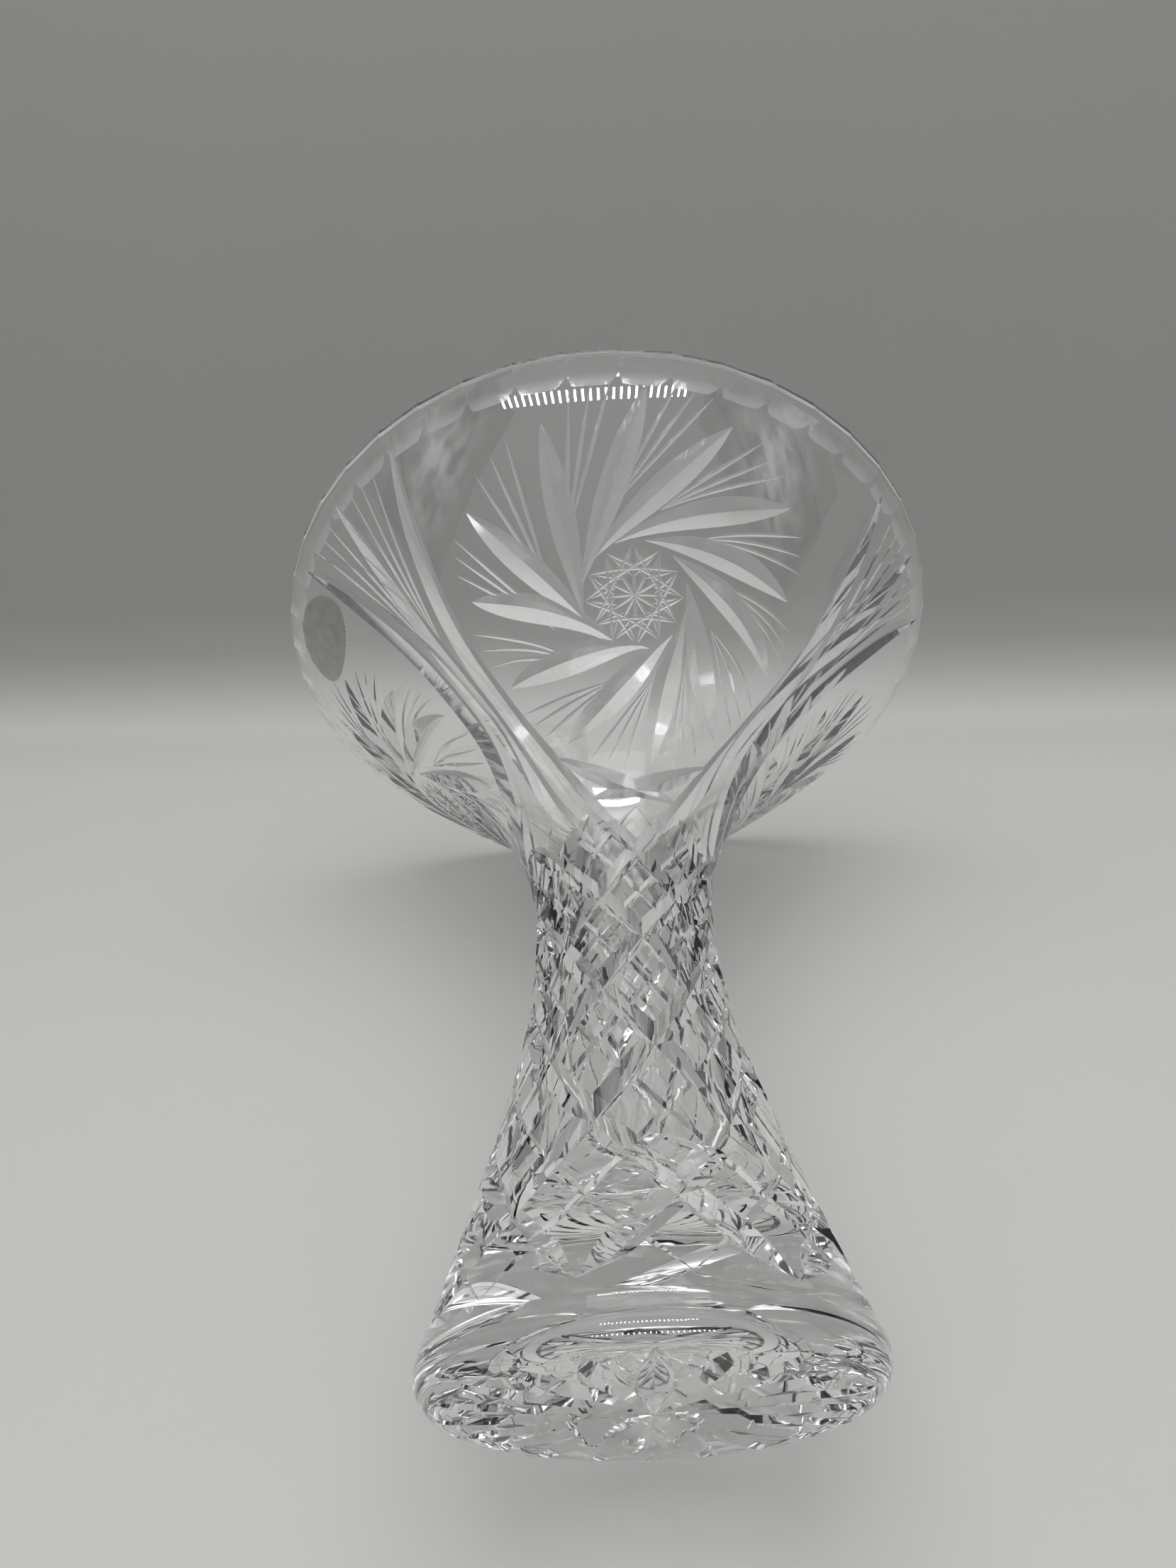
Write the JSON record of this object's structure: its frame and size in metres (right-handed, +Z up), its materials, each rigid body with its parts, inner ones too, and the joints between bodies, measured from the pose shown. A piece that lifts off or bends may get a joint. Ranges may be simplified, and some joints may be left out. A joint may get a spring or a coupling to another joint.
{
  "type": "vase",
  "caption": "Flared glass vase with a narrow waist and splayed foot, wheel-cut with pinwheels, fans, a diamond lattice, a base star and a faceted rim",
  "frame": {"origin": "centre of the foot's flat underside", "axes": "+Z up along the vase's axis, -Y through the middle of one pinwheel panel, +X to the right of that panel seen from outside"},
  "size_m": [0.2271, 0.2272, 0.25],
  "materials": {
    "lead_crystal": "clear polished lead crystal with bright polished mitre cuts",
    "label_paper": "aged beige-grey paper, uncoated"
  },
  "bodies": {
    "root": {"crystal_body": "lead_crystal", "paper_label": "label_paper"}
  },
  "joints": []
}
